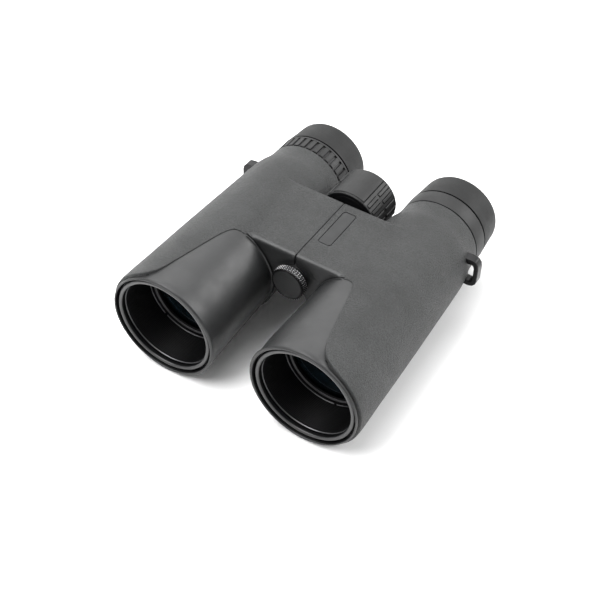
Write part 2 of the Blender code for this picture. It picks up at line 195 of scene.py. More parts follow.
def rubber(name, dark, light, roughness, grain, depth, edge=0.25, pit_shade_and_tip_sheen=0.0,
           specular=0.48):
    """Moulded rubber: grain is features per metre, depth the bump height in metres.

    speckle paints shade into the pits of the grain and a highlight on its tips.
    """
    mat, nodes, links, shader = node_material(name)
    cloud = noise(nodes, links, 45, 4.0)
    colour = two_tone(nodes, links, cloud, dark, light)
    texture = noise(nodes, links, grain, 4.0, 0.7)
    # Painted shade in the pits of the grain and a painted highlight on its tips, from the noise
    # that also drives the bump.
    if pit_shade_and_tip_sheen:
        tone = ranged(nodes, links, texture, 1 - pit_shade_and_tip_sheen, 1 + pit_shade_and_tip_sheen, 0.35, 0.65)
        scale = nodes.new("ShaderNodeVectorMath")
        scale.operation = "SCALE"
        links.new(colour, scale.inputs[0])
        links.new(tone, scale.inputs["Scale"])
        colour = scale.outputs["Vector"]
    # Exposed edges lightened: partly wear, partly a painted highlight.
    links.new(edge_wear_and_sheen(nodes, links, colour, [c * 1.9 for c in light], edge),
              shader.inputs["Base Color"])
    handling = noise(nodes, links, 130, 5.0, 0.65)
    links.new(ranged(nodes, links, handling, roughness - 0.05, roughness + 0.06),
              shader.inputs["Roughness"])
    fine = bump(nodes, links, noise(nodes, links, 9000, 2.0), depth * 0.25, 0.6)
    links.new(bump(nodes, links, texture, depth, 1.0, fine), shader.inputs["Normal"])
    shader.inputs["Specular IOR Level"].default_value = specular
    return mat


def plastic(name, dark, light, roughness, depth=0.00001, specular=0.5, rubbed_and_sheen=0.01):
    """Moulded plastic; rubbed is how much lighter its exposed edges are, partly wear and partly a
    painted highlight.
    """
    mat, nodes, links, shader = node_material(name)
    colour = two_tone(nodes, links, noise(nodes, links, 60, 3.0), dark, light)
    links.new(edge_wear_and_sheen(nodes, links, colour, [c * 2.5 + rubbed_and_sheen for c in light], 0.3),
              shader.inputs["Base Color"])
    smear = noise(nodes, links, 220, 5.0, 0.6)
    links.new(ranged(nodes, links, smear, roughness - 0.04, roughness + 0.07),
              shader.inputs["Roughness"])
    links.new(bump(nodes, links, noise(nodes, links, 5000, 2.0), depth, 0.6),
              shader.inputs["Normal"])
    shader.inputs["Specular IOR Level"].default_value = specular
    return mat


def metal(name, colour, roughness, turned=True):
    """Turned metal, its fine tool marks running round the Y axis."""
    mat, nodes, links, shader = node_material(name)
    tone = noise(nodes, links, 150, 3.0)
    links.new(two_tone(nodes, links, tone, [c * 0.85 for c in colour], colour),
              shader.inputs["Base Color"])
    stretch = (0.02, 1, 0.02) if turned else (1, 1, 1)
    marks = noise(nodes, links, 6000, 2.0, 0.5, stretch)
    links.new(ranged(nodes, links, marks, roughness - 0.06, roughness + 0.1),
              shader.inputs["Roughness"])
    links.new(bump(nodes, links, marks, 0.00001, 0.5), shader.inputs["Normal"])
    shader.inputs["Metallic"].default_value = 1.0
    return mat


def coated_glass(name, tint, film):
    """Clear glass with a tinted anti-reflection film."""
    mat, nodes, links, shader = node_material(name)
    smear = noise(nodes, links, 90, 3.0)
    links.new(two_tone(nodes, links, smear, [c * 0.94 for c in tint], tint),
              shader.inputs["Base Color"])
    links.new(ranged(nodes, links, smear, 0.015, 0.05), shader.inputs["Roughness"])
    shader.inputs["Transmission Weight"].default_value = 1.0
    shader.inputs["IOR"].default_value = 1.52
    shader.inputs["Coat Weight"].default_value = 0.35
    shader.inputs["Coat Roughness"].default_value = 0.03
    shader.inputs["Coat Tint"].default_value = (*film, 1)
    return mat


DARK, LIGHT = (0.0310, 0.0320, 0.0320), (0.0430, 0.0445, 0.0445)
MATS = {
    "grained": rubber("armour_grained", DARK, LIGHT, 0.55, 1400, 0.0011, pit_shade_and_tip_sheen=0.32),
    "satin": rubber("armour_satin", (0.0115, 0.0119, 0.0122), (0.0165, 0.0170, 0.0175), 0.43, 3500,
                    0.00002),
    "cup": rubber("eyecup_soft_rubber", (0.004, 0.0042, 0.0043), (0.007, 0.0072, 0.0073), 0.58,
                  3000, 0.00004, specular=0.32),
    "ring": rubber("ring_rubber", (0.0048, 0.0050, 0.0051), (0.0078, 0.0080, 0.0082), 0.53, 2600,
                   0.00003, specular=0.4),
    "wheel": rubber("wheel_rubber", (0.0038, 0.0040, 0.0041), (0.0064, 0.0066, 0.0067), 0.5, 2600,
                    0.00003, specular=0.42),
    "washer": rubber("washer_rubber", (0.008, 0.008, 0.008), (0.012, 0.012, 0.012), 0.6, 2600,
                     0.00002),
    # Matt black of the interior parts; also laid on outside faces in gaps and grooves as painted
    # shade.
    "inner": plastic("matt_black_and_painted_shade", (0.0010, 0.0010, 0.0012), (0.002, 0.002, 0.0024), 0.5,
                     specular=0.16, rubbed_and_sheen=0.0),
    "rim": plastic("rim_anodised", (0.020, 0.020, 0.021), (0.028, 0.028, 0.029), 0.34,
                   specular=0.62),
    # Bright metal for the thin ring edges inside the objective: a painted highlight.
    "painted_edge_highlight": metal("edge_painted_highlight", (0.15, 0.15, 0.155), 0.42),
    "body": plastic("body_satin_plastic", (0.010, 0.010, 0.011), (0.016, 0.016, 0.017), 0.45),
    "guide": plastic("guide_plastic", (0.008, 0.008, 0.009), (0.013, 0.013, 0.014), 0.35),
    "lug": plastic("lug_gloss_plastic", (0.003, 0.003, 0.0035), (0.005, 0.005, 0.0055), 0.3,
                   specular=0.25),
    "cap": plastic("cap_satin_black", (0.008, 0.0083, 0.0086), (0.012, 0.0123, 0.0126), 0.4,
                   specular=0.4, rubbed_and_sheen=0.002),
    # Bright metal for the knurl's tips: a painted highlight.
    "knurl": metal("cap_knurl_painted_highlight", (0.46, 0.46, 0.47), 0.45, turned=False),
    "plate": plastic("name_plate_satin", (0.0145, 0.0150, 0.0153), (0.0195, 0.0200, 0.0204), 0.6,
                     specular=0.38),
    "nylon": plastic("click_ring_nylon", (0.010, 0.010, 0.011), (0.016, 0.016, 0.017), 0.4),
    "alloy": metal("anodised_alloy", (0.06, 0.06, 0.062), 0.4),
    "steel": metal("turned_steel", (0.52, 0.52, 0.53), 0.32),
    "brass": metal("turned_brass", (0.66, 0.48, 0.22), 0.3),
    "glass": coated_glass("coated_glass", (0.80, 0.90, 0.97), (0.55, 0.72, 1.0)),
    # Near-black tint on the objective lenses: painted shade of the dark tube behind them.
    "objective": coated_glass("objective_glass_painted_dark", (0.03, 0.05, 0.06), (0.55, 0.8, 0.95)),
}


# ------------------------------------------------------------------- meshes
def make_piece(name, points, faces, mats, body, nodes=(), sharp=35, face_mats=None):
    """Mesh from design millimetres, riding on a body and standing for CAD nodes."""
    pts = np.asarray(points, float) + (0.0, FRONT_Y, AXIS_Z)
    mesh = bpy.data.meshes.new(name)
    mesh.from_pydata((pts * MM).tolist(), [], faces)
    mesh.update()
    if face_mats is not None:
        mesh.polygons.foreach_set("material_index", face_mats)
    bm = bmesh.new()
    bm.from_mesh(mesh)
    bmesh.ops.recalc_face_normals(bm, faces=bm.faces[:])
    bm.to_mesh(mesh)
    bm.free()
    mesh.shade_smooth()
    mesh.set_sharp_from_angle(angle=math.radians(sharp))
    obj = bpy.data.objects.new(name, mesh)
    bpy.context.scene.collection.objects.link(obj)
    for mat in mats:
        mesh.materials.append(MATS[mat])
    if body:
        settle(obj, body, nodes)
    return obj


def settle(obj, body, nodes):
    """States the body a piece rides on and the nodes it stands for."""
    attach(obj, body)
    if nodes:
        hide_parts(*nodes)


def loop_faces(sizes, closed):
    """Faces between consecutive loops, where a loop of one point is a pole."""
    starts = np.concatenate(([0], np.cumsum(sizes)))
    faces = []
    count = len(sizes)
    for k in range(count if closed else count - 1):
        a, b = k, (k + 1) % count
        n = max(sizes[a], sizes[b])
        if n == 1:
            continue
        for i in range(n):
            j = (i + 1) % n
            first = [starts[a] + (i if sizes[a] > 1 else 0), starts[a] + (j if sizes[a] > 1 else 0)]
            second = [starts[b] + (j if sizes[b] > 1 else 0),
                      starts[b] + (i if sizes[b] > 1 else 0)]
            face = [int(v) for v in dict.fromkeys(first + second)]
            faces.append(face)
    return faces


def rounded_profile(profile, radius, arc=3):
    """Softens each corner of a closed (radius, y) outline with a small arc."""
    count = len(profile)
    points = []
    for i, here in enumerate(profile):
        here = np.array(here, float)
        if here[0] < 1e-6:
            points.append(tuple(here))
            continue
        back = np.array(profile[i - 1], float) - here
        ahead = np.array(profile[(i + 1) % count], float) - here
        lengths = np.linalg.norm(back), np.linalg.norm(ahead)
        turn = abs(back @ ahead / (lengths[0] * lengths[1]) + 1)
        if turn < 0.02:
            points.append(tuple(here))
            continue
        reach = min(radius, 0.45 * lengths[0], 0.45 * lengths[1])
        start = here + back / lengths[0] * reach
        end = here + ahead / lengths[1] * reach
        for k in range(arc + 1):
            t = k / arc
            points.append(tuple(start * (1 - t) ** 2 + here * 2 * t * (1 - t) + end * t * t))
    return points


def turned(name, profile, mat, body, nodes=(), slot=None, x=0.0, z=0.0, steps=128, edge=0.25,
           sharp=35, accent=None):
    """Body turned about the line (x, z) along Y from a closed (radius, y) outline.

    accent is (material, test): faces whose (radius, y) pass the test take that material.
    """
    outline = rounded_profile(profile, edge)
    angles = 2 * np.pi * np.arange(steps) / steps
    points, sizes = [], []
    for radius, y in outline:
        if radius < 1e-6:
            points.append((x, y, z))
            sizes.append(1)
        else:
            points += [(x + radius * c, y, z + radius * s) for c,
                       s in zip(np.cos(angles), np.sin(angles))]
            sizes.append(steps)
    faces = loop_faces(sizes, True)
    if accent is None:
        return make_piece(name, points, faces, [mat], body, nodes, sharp)
    picked = []
    for face in faces:
        corners = [points[i] for i in face]
        radius = sum(math.hypot(px - x, pz - z) for px, _, pz in corners) / len(corners)
        picked.append(int(accent[1](radius, sum(py for _, py, _ in corners) / len(corners))))
    return make_piece(name, points, faces, [mat, accent[0]], body, nodes, sharp,
                      face_mats=picked)


def cutter(name, outline, low, high, along="y"):
    """Closed prism used once to cut another piece: an outline extruded along an axis."""
    order = {"y": (0, 2, 1), "z": (0, 1, 2)}[along]
    points = []
    for level in (low, high):
        for a, b in outline:
            point = [0.0, 0.0, 0.0]
            point[order[0]], point[order[1]], point[order[2]] = a, b, level
            points.append(point)
    n = len(outline)
    faces = [list(range(n)), list(range(n, 2 * n))]
    faces += [[i, (i + 1) % n, n + (i + 1) % n, n + i] for i in range(n)]
    return make_piece(name, points, faces, [], None)


def cut(target, tool):
    """Cuts the tool out of the target and removes the tool."""
    mod = target.modifiers.new("cut", "BOOLEAN")
    mod.operation = "DIFFERENCE"
    mod.solver = "EXACT"
    mod.object = tool
    graph = bpy.context.evaluated_depsgraph_get()
    mesh = bpy.data.meshes.new_from_object(target.evaluated_get(graph))
    target.modifiers.clear()
    target.data = mesh
    mesh.shade_smooth()
    mesh.set_sharp_from_angle(angle=math.radians(35))
    bpy.data.objects.remove(tool, do_unlink=True)


def ring_outline(x, z, radius, steps=96):
    turns = [2 * math.pi * i / steps for i in range(steps)]
    return [(x + radius * math.cos(t), z + radius * math.sin(t)) for t in turns]


def rounded_rectangle(x, y, radius, steps=8):
    points = []
    for cx, cy, start in ((x[1], y[1], 0), (x[0], y[1], 90), (x[0], y[0], 180), (x[1], y[0], 270)):
        px = cx - math.copysign(radius, cx - sum(x) / 2)
        py = cy - math.copysign(radius, cy - sum(y) / 2)
        for i in range(steps + 1):
            turn = math.radians(start + 90 * i / steps)
            points.append((px + radius * math.cos(turn), py + radius * math.sin(turn)))
    return points


# ---------------------------------------------------------------- the armour
def hollow_depth(angle, y):
    """How far the smooth hollow lies below the grained armour."""
    under = smoothstep(165, 198, angle) * (1 - smoothstep(235, 265, angle))
    outside = 1 - smoothstep(60, 80, from_outside(angle))
    depth = 0.42 + 0.9 * np.exp(-(y / 9.0) ** 2) + 0.95 * under
    return np.minimum(depth, 1.1) + outside * 0.75


def lip_radius(angle):
    """Outer radius of the rounded front lip; narrower where the armour overlaps it."""
    return 26.75 + 0.7 * smoothstep(58, 92, from_outside(angle))


def smooth_surface(angle, y):
    """Radius of the smooth hollow, flaring out to the front lip."""
    base = skin_radius(y) - hollow_depth(angle, y)
    inner = smoothstep(60, 85, from_outside(angle))
    flare = np.exp(-np.maximum(y - LIP_Y - 1.2, 0) / (0.3 + 1.9 * inner))
    return base + (lip_radius(angle) - 0.05 - base) * flare * inner


def bridge_radius(angle, drop, edge):
    """Distance from the optical axis to the surface of this half of the bridge."""
    turn = np.radians(angle)
    along = np.stack([np.cos(turn), np.sin(turn)])
    fold = np.array([-math.cos(FOLD_HALF), -math.sin(FOLD_HALF)])
    reach = -fold @ (AXIS_X, -HINGE_Z) - 0.35
    planes = (((0.0, 1.0), PLATE_Z - drop), ((-1.0, 0.0), AXIS_X - 0.15 - edge),
              (fold, reach - edge), ((0.0, -1.0), 2.3 - edge * 0.5), ((1.0, 0.0), 1.0))
    radius = np.full(len(angle), 90.0)
    for normal, distance in planes:
        facing = np.asarray(normal) @ along
        hit = np.where(facing > 1e-3, distance / np.maximum(facing, 1e-3), 90.0)
        radius = soft_min(radius, np.minimum(hit, 90.0), 0.7)
    return radius


def wheel_limit(angle):
    """Distance from the optical axis to the scoop that clears the focus wheel."""
    turn = np.radians(angle)
    cx, cz = -AXIS_X, HINGE_Z
    room = WHEEL_R + 0.6
    along = cx * np.cos(turn) + cz * np.sin(turn)
    across = cx * cx + cz * cz - along * along
    inside = np.maximum(room * room - across, 0)
    return np.where((across < room * room) & (along > 0), along - np.sqrt(inside), 90.0)


def armour_angles():
    """Columns round the barrel, closer together where the bridge has its corners."""
    turns = list(np.arange(0, 360, 1.25))
    for corner in (147.8, 164.6, 183.9):
        turns += [corner + d for d in (-0.9, -0.6, -0.35, -0.15, 0.0, 0.15, 0.35, 0.6, 0.9)]
    turns += list(np.arange(184.2, 187.6, 0.2))
    turns += list(np.arange(112, 124, 0.6))
    turns = sorted(turns)
    kept = [turns[0]]
    for turn in turns[1:]:
        if turn - kept[-1] > 0.09:
            kept.append(turn)
    return np.array(kept)


def front_lip(angle):
    """Rounded bead round the front opening, as rows from its inside to its outside."""
    ones, outer = np.ones(len(angle)), lip_radius(angle)
    # The groove wall behind the bead takes the near-black slot, painted shade.
    rows = [(25.45 * ones, 1.9 * ones, PAINTED_SHADE), (25.8 * ones, (0.9 + LIP_Y) * ones, PAINTED_SHADE)]
    rows += [(radius * ones, (y + LIP_Y) * ones, SATIN) for radius, y in
             ((25.87, 0.4), (25.95, 0.2), (26.1, 0.06), (LIP_CREST, 0.0))]
    for share, y in ((0.3, 0.03), (0.55, 0.12), (0.75, 0.28), (0.9, 0.5), (0.98, 0.75), (1.0, 1.0)):
        rows.append((LIP_CREST + (outer - LIP_CREST) * share, (y + LIP_Y) * ones, SATIN))
    return rows


def armour_rows(angle):
    """Rows of (radius, y, material) from the front lip back along the outside."""
    seam = seam_curve(from_outside(angle))
    ones = np.ones(len(angle))
    lip = smoothstep(114, 119, angle) * (1 - smoothstep(188, 196, angle))
    rows = front_lip(angle)
    start = 1.0 + LIP_Y
    parts = list(np.linspace(0.0, 1.0, 30)[1:-1]) + [0.986, 0.99, 0.993, 0.996, 1.0]
    for part in parts:
        y = start + (seam - start) * part
        ridge = 0.7 * lip * smoothstep(0.988, 0.996, part)
        rows.append((smooth_surface(angle, y) + ridge, y, SATIN))
    for past, rise, fall in ((0.03, -0.12, 0.0), (0.10, 0.35, 0.05), (0.20, 0.75, 0.25),
                             (0.36, 0.95, 0.8), (0.55, 1.0, 1.5)):
        y = seam + past
        low, high = smooth_surface(angle, y), skin_radius(y)
        up = low + (high - low) * max(rise, 0.0) + min(rise, 0.0)
        rows.append((up * (1 - lip) + (low + 0.7 - fall) * lip, y,
                     np.where(lip > 0.5, SATIN, GRAINED)))
    on_bridge = (angle > 117) & (angle < 192)
    for part in np.linspace(0.0, 1.0, 34)[1:]:
        y = seam + STEP_Y + (WALL_FRONT - 0.05 - seam - STEP_Y) * part
        low = smooth_surface(angle, y) - 0.95
        rows.append((skin_radius(y) * (1 - lip) + low * lip, y,
                     np.where(on_bridge, SATIN, GRAINED)))
    front_round = 2.2
    for past in (0.0, 0.1, 0.25, 0.45, 0.7, 1.0, 1.4, 1.8, 2.2):
        drop = front_round - math.sqrt(max(front_round ** 2 - (front_round - past) ** 2, 0))
        edge = max(0.5 - past, 0) * 0.6
        y = (WALL_FRONT + past) * ones
        rows.append((soft_max(skin_radius(y), bridge_radius(angle, drop, edge), 1.1), y,
                     np.where(on_bridge & (past < 1.5), SATIN, GRAINED)))
    for y in np.arange(53.5, 92.0, 1.5):
        y = y * ones
        rows.append((soft_max(skin_radius(y), bridge_radius(angle, 0.0, 0.0), 1.1), y, GRAINED))
    for left in (1.0, 0.7, 0.45, 0.25, 0.1, 0.0):
        drop = 1.0 - math.sqrt(max(1.0 - (1.0 - left) ** 2, 0))
        y = (WALL_REAR - left) * ones
        rows.append((soft_max(skin_radius(y), bridge_radius(angle, drop, drop * 0.4), 1.1), y,
                     np.where(on_bridge, SATIN, GRAINED)))
    for y in list(np.arange(93.25, 118.2, 0.9)) + [118.4, 118.62]:
        y = y * ones
        scoop = smoothstep(94.0, 96.5, y)
        limit = wheel_limit(angle) * scoop + 60 * (1 - scoop)
        rows.append((soft_min(skin_radius(y), limit, 0.9), y, GRAINED))
    # The rear end and the inner faces take the near-black slot, painted shade.
    for radius, y in ((21.12, 118.75), (21.0, REAR), (19.75, REAR), (20.15, 112.0), (21.35, 104.0),
                      (21.75, 94.3)):
        rows.append((radius * ones, y * ones, PAINTED_SHADE))
    for y in (93.9, 80.0, 60.0, 40.0, 20.0, 2.6):
        rows.append(((skin_radius(y) - INNER_WALL) * ones, y * ones, PAINTED_SHADE))
    return rows


def armour(where, side):
    """Rubber skin of one barrel with its half of the bridge cover."""
    angle = armour_angles()
    turn = np.radians(angle)
    points, face_mats = [], []
    for radius, y, mat in armour_rows(angle):
        x = side * (AXIS_X + radius * np.cos(turn))
        points.append(np.stack([x, y, radius * np.sin(turn)], 1))
        face_mats.append(np.broadcast_to(mat, len(angle)))
    faces = loop_faces([len(angle)] * len(points), True)
    # Third slot: the near-black material, as painted shade.
    skin = make_piece("armour_skin_" + where, np.concatenate(points), faces,
                      ["grained", "satin", "inner"], None, face_mats=np.concatenate(face_mats))
    ends = sorted((side * -6.0, side * 26.5))
    window = [(ends[0], -2.38), (ends[1], -2.38), (ends[1], 21.9), (ends[0], 21.9)]
    cut(skin, cutter("window", window, 50.95, 91.9))
    cut(skin, cutter("shaft_hole", ring_outline(0.0, HINGE_Z, 6.9), 48.0, 97.0))
    if side > 0:
        cut(skin, cutter("plate_recess", rounded_rectangle((2.95, 10.05), (63.75, 88.05), 1.6),
                         22.75, 24.0, "z"))
    settle(skin, where + "_half", ["armour_" + where])
    return skin


def name_plate():
    """Blank inlay in the bridge cover, its top edge softened."""
    loops = []
    for inset, z in ((0.0, 22.8), (0.0, 23.05), (0.06, 23.17), (0.2, 23.22)):
        outline = rounded_rectangle((3.4 + inset, 9.6 - inset), (64.2 + inset, 87.6 - inset),
                                    1.2 - inset)
        loops.append([(x, y, z) for x, y in outline])
    n = len(loops[0])
    points = [point for loop in loops for point in loop]
    faces = loop_faces([n] * 4, False) + [list(range(n)), list(range(3 * n, 4 * n))]
    make_piece("name_plate_blank", points, faces, ["plate"], "left_half", ["name_plate"])


# --------------------------------------------------------------- objectives
def objective(where, side):
    """Rim, shade tube, lock ring, cell and lenses seen down the front of a barrel."""
    x = side * AXIS_X
    body = where + "_half"
    rim = ((22.9, 0.9), (23.1, 0.2), (23.45, -0.08), (24.2, -0.16), (24.7, 0.0), (24.95, 0.4),
           (25.2, 1.2), (25.2, 2.35), (22.9, 2.35))
    # Only the front face takes the anodised finish; the ring's walls in the groove and inside take
    # the near-black, painted shade.
    turned("rim_ring_" + where, rim, "inner", body, ["objective_bezel_" + where], "bezel_black", x,
           edge=0.2, accent=("rim", lambda radius, y: y < 0.55 and radius > 23.0))
    outline = [(24.2, 2.65), (24.2, 21.1), (22.8, 21.1)]
    for i in range(22):
        y = 20.6 - 0.78 * i
        outline += [(22.8, y), (22.9, y - 0.2), (22.9, y - 0.42), (22.8, y - 0.6)]
    outline += [(22.8, 3.1), (22.95, 2.8), (23.3, 2.65)]
    # The front edge of the tube takes the bright metal, a painted highlight.
    turned("shade_tube_" + where, outline, "inner", body, ["objective_sleeve_" + where],
           "inner_black", x,
           edge=0.05, accent=("painted_edge_highlight", lambda radius, y: y < 3.0 and radius < 23.5))
    ring = ((20.05, 20.75), (20.9, 20.45), (21.0, 20.6), (21.9, 20.6), (22.0, 19.9), (22.2, 19.7),
            (22.55, 19.7), (22.65, 19.95), (22.65, 21.05), (20.05, 21.05))
    # The lock ring's lip and inner cone take the bright metal, a painted highlight.
    lock = turned("lock_ring_" + where, ring, "inner", None, x=x, edge=0.08,
                  accent=("painted_edge_highlight", lambda radius, y: y < 20.2 or radius < 20.9))
    turn = math.radians(282 if side > 0 else 231)
    away, across = (math.cos(turn), math.sin(turn)), (-math.sin(turn), math.cos(turn))
    outline = [(x + r * away[0] + w * across[0], r * away[1] + w * across[1])
               for r, w in ((21.4, -0.7), (23.5, -0.7), (23.5, 0.7), (21.4, 0.7))]
    cut(lock, cutter("notch", outline, 19.0, 20.5))
    settle(lock, body, ["retaining_ring_" + where])
    cell = [(20.05, 21.75), (20.5, 21.35), (23.8, 21.35), (24.1, 21.6), (24.1, 33.7), (21.2, 33.7)]
    cell += [(21.2, 22.15), (20.05, 22.15)]
    turned("lens_cell_" + where, cell, "inner", body, ["objective_cell_" + where], "inner_black", x,
           edge=0.12)
    lens("objective_front_", "objective_crown_", where, x, body, 20.8, (21.2, 23.0), (28.0, 25.5),
         "objective")
    lens("objective_rear_", "objective_flint_", where, x, body, 20.8, (28.3, 25.8), (31.4, 31.0),
         "objective")


def lens(name, node, where, x, body, radius, front, rear, mat="glass"):
    """Lens with spherical faces, from the y of each face's centre and edge."""
    outline = []
    for k in range(13):
        r = radius * k / 12
        outline.append((r, front[0] + (front[1] - front[0]) * (r / radius) ** 2))
    for k in range(12, -1, -1):
        r = radius * k / 12
        outline.append((r, rear[0] + (rear[1] - rear[0]) * (r / radius) ** 2))
    turned(name + where, outline, mat, body, [node + where], "lens_glass", x, steps=96, edge=0.02,
           sharp=40)


# ----------------------------------------------------------------- eyepieces
def eyepiece(where, side):
    """Guide tube, lens cell and twist-up eyecup at the rear of a barrel."""
    x = side * AXIS_X
    body = where + "_half"
    group = body if side > 0 else "ocular_group_right"
    guide = ((15.6, 104.0), (17.5, 104.0), (17.5, 138.3), (15.6, 138.3))
    turned("guide_tube_" + where, guide, "guide", body, ["ocular_tube_" + where], "guide_plastic",
           x, edge=0.3)
    cell = [(12.0, 106.0), (15.2, 106.0), (15.2, 136.8), (14.2, 136.8), (13.9, 136.4),
            (12.9, 136.15)]
    cell += [(12.6, 135.7), (12.0, 135.4)]
    turned("eyepiece_cell_" + where, cell, "inner", group, ["ocular_cell_" + where], "inner_black",
           x, edge=0.15)
    lens("eyepiece_rear_", "eye_lens_", where, x, group, 11.7, (126.0, 127.6), (134.9, 132.8))
    lens("eyepiece_front_", "field_lens_", where, x, group, 11.7, (110.0, 111.6), (116.0, 114.0))
    cup = "eyecup_" + where
    sleeve = ((18.5, 128.2), (19.3, 128.2), (19.3, 141.2), (17.0, 141.2), (17.0, 138.8),
              (18.5, 138.8))
    turned("cup_sleeve_" + where, sleeve, "guide", cup, ["eyecup_sleeve_" + where], "guide_plastic",
           x, edge=0.2)
    rubber_cup = [(19.6, 128.3), (20.9, 128.3), (21.0, 128.5), (20.85, 130.5), (20.4, 135.0),
                  (19.95, 141.0),
                  (19.7, 142.3), (19.2, 143.3), (18.5, 143.8), (17.8, 143.9), (17.1, 143.7),
                  (16.7, 143.2), (16.6, 141.5), (19.6, 141.5)]
    # The front face of the cup, in the gap to the collar, takes the near-black: painted shade.
    turned("cup_rubber_" + where, rubber_cup, "cup", cup, ["eyecup_rubber_" + where],
           "eyecup_rubber", x, edge=0.2,
           accent=("inner", lambda radius, y: y < 128.4 and radius < 20.95))


def fluted(name, columns, rows, height, mats, body, nodes, x=0.0, z=0.0, dark=()):
    """Turned body whose outside rises in ribs.

    Columns are (angle, share, plain) and rows (radius, y, share, share of the plain pads);
    dark lists the rows whose faces take the second material, painted shade at the ends; faces sunk
    below the land between ribs take it too, as painted shade in the grooves.
    """
    points = []
    for radius, y, share, pad_share in rows:
        for angle, up, plain in columns:
            r = radius + height * up * (pad_share if plain else share)
            points.append((x + r * math.cos(angle), y, z + r * math.sin(angle)))
    faces = loop_faces([len(columns)] * len(rows), True)
    following = columns[1:] + columns[:1]
    groove = [here[1] < 0 and after[1] < 0 for here, after in zip(columns, following)]
    # Faces in the grooves and in the dark rows take the second material: painted shade.
    picked = [int(i in dark or in_shaded_groove) for i in range(len(rows)) for in_shaded_groove in groove]
    return make_piece(name, points, faces, mats, body, nodes, 30, face_mats=picked)


def rib_columns(count, start, width, bevel, plain=(), groove=0.0):
    """Angles and heights of even ribs in radians; plain ribs run together as one pad.

    A groove below the land outlines each rib, as deep as the given share of its height.
    """
    pitch = 2 * math.pi / count
    columns = []
    for i in range(count):
        base = start + i * pitch
        pad = i in plain
        first = 1.0 if pad and i - 1 in plain else 0.0
        last = 1.0 if pad and i + 1 in plain else 0.0
        cut_first, cut_last = first or -groove, last or -groove
        columns += [(base - bevel * 0.9, first, pad), (base - bevel * 0.6, cut_first, pad),
                    (base, cut_first, pad),
                    (base + bevel * 0.3, max(first, 0.55), pad), (base + bevel, 1.0, pad),
                    (base + width - bevel, 1.0, pad),
                    (base + width - bevel * 0.3, max(last, 0.55), pad),
                    (base + width, cut_last, pad), (base + width + bevel * 0.6, cut_last, pad),
                    (base + width + bevel * 0.9, last, pad)]
    return columns


def rear_ring(side):
    """Plain collar on the left eyepiece, ribbed dioptre ring on the right one."""
    x = side * AXIS_X
    if side > 0:
        collar = ((17.8, 119.3), (21.05, 119.3), (21.2, 119.45), (21.2, 127.3), (21.05, 127.45),
                  (17.8, 127.45))
        # The end faces of the collar, in the gaps, take the near-black: painted shade.
        turned("rear_collar", collar, "ring", "left_half", ["collar_left"], "ring_rubber", x,
               edge=0.15,
               accent=("inner", lambda radius, y: radius < 21.08 and (y < 119.4 or y > 127.4)))
        return
    columns = rib_columns(36, math.radians(5.4), math.radians(7.0), math.radians(0.6))
    rows = [(17.8, 127.6, 0), (20.9, 127.6, 0), (21.2, 127.35, 0), (21.2, 126.5, 0),
            (21.2, 126.35, 0)]
    rows += [(20.45, 126.3, 0), (20.4, 126.2, 1), (20.4, 125.9, 1), (20.4, 120.2, 1),
             (20.4, 119.7, 1)]
    rows += [(20.3, 119.5, 0.6), (20.1, 119.3, 0), (17.8, 119.3, 0)]
    rows = [row + row[2:] for row in rows]
    # Its second material, near-black, is painted shade on the end faces and in the grooves.
    fluted("dioptre_grip", columns, rows, 0.8, ["ring", "inner"], "dioptre_ring", ["dioptre_ring"],
           x, dark=(0, len(rows) - 2, len(rows) - 1))


# ------------------------------------------------------------ centre pieces
def focus_wheel():
    """Ribbed wheel with one plain pad, on its core, with a cover at the rear."""
    pad = range(4, 9)
    columns = rib_columns(24, math.radians(0.4), math.radians(6.6), math.radians(1.3), pad, 0.9)
    base = 14.75
    rows = [(12.9, 97.1, 0, 0), (13.2, 97.1, 0, 0), (14.4, 97.25, 0, 0), (14.65, 97.45, 0, 0),
            (base, 97.8, 0, 0)]
    for low, high, first, last in ((98.0, 106.4, 0, 1), (107.9, 116.6, 1, 0)):
        rows += [(base, low, 0, first), (base, low + 0.12, 0.55, max(first, 0.55)),
                 (base, low + 0.35, 1, 1),
                 (base, (low + high) / 2, 1, 1), (base, high - 0.35, 1, 1),
                 (base, high - 0.12, 0.55, max(last, 0.55)), (base, high, 0, last)]
    rows += [(base, 117.0, 0, 0), (14.6, 117.5, 0, 0), (14.2, 117.8, 0, 0), (13.6, 117.9, 0, 0),
             (12.9, 117.9, 0, 0)]
    # Its second material, near-black, is painted shade on the end faces and in the grooves.
    fluted("wheel_ribs", columns, rows, 0.45, ["wheel", "inner"], "focus_wheel", ["wheel_grip"],
           0.0, HINGE_Z, dark=(0, 1, len(rows) - 1))
    hub = ((2.8, 96.6), (6.5, 96.6), (6.8, 97.0), (12.3, 97.3), (12.6, 97.6), (12.6, 114.8),
           (2.8, 114.8))
    turned("wheel_core", hub, "inner", "focus_wheel", ["wheel_hub"], "wheel_plastic", 0.0, HINGE_Z,
           edge=0.2)
    disc = ((0, 115.1), (12.5, 115.1), (12.5, 117.0), (12.1, 117.35), (9.6, 117.35), (9.2, 117.0),
            (8.6, 117.0), (8.2, 117.3), (0, 117.3))
    turned("wheel_cover", disc, "guide", "focus_wheel", ["wheel_end_cap"], "wheel_plastic", 0.0,
           HINGE_Z, edge=0.15)


def diamond(a, b):
    """Height of a diamond knurl, 0 to 1, for a place counted in diamonds."""
    return min(abs(2 * ((a + b) % 1.0) - 1), abs(2 * ((a - b) % 1.0) - 1))


